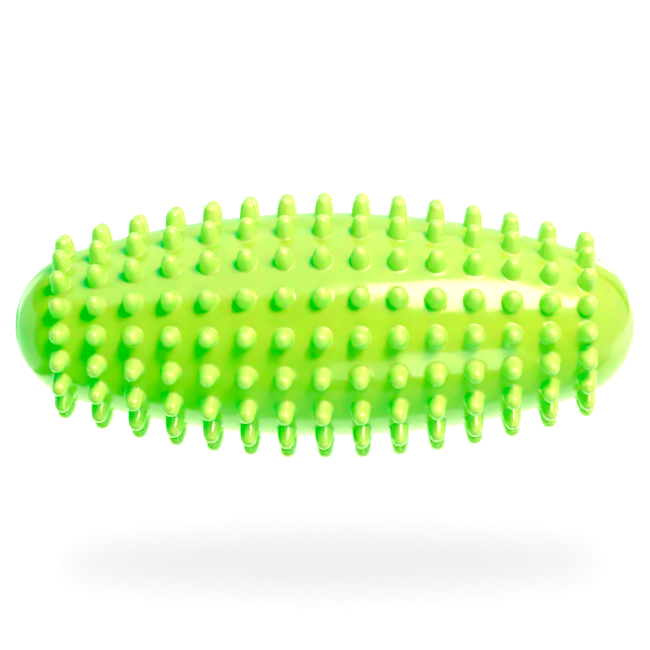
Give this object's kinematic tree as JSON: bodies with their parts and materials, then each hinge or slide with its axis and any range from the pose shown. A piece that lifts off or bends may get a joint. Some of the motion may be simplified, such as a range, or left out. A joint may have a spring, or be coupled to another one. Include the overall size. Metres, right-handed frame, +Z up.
{
  "type": "massage roller",
  "caption": "Long barrel-shaped spiky massage roller in soft glossy PVC, air filled, with plain domed ends and a pull-out stopper in its left pole.",
  "frame": {"origin": "centre of the roller, half way between its poles on the long axis", "axes": "+X along the long axis, with the valve at the -X pole; +Z up when it rests on two rows of nubs; one row of nubs points along +Y and one along -Y"},
  "size_m": [0.168, 0.0722, 0.0712],
  "materials": {
    "skin_pvc": "gloss",
    "seat_pvc": "satin",
    "stopper_pvc": "gloss"
  },
  "bodies": {
    "roller": {"skin": "skin_pvc", "valve_seat": "seat_pvc"},
    "stopper": {"valve_plug": "stopper_pvc"}
  },
  "joints": [
    {"name": "stopper_pull", "type": "slide", "parent": "roller", "child": "stopper", "axis": [-1, 0, 0], "range_m": [0, 0.012]}
  ]
}
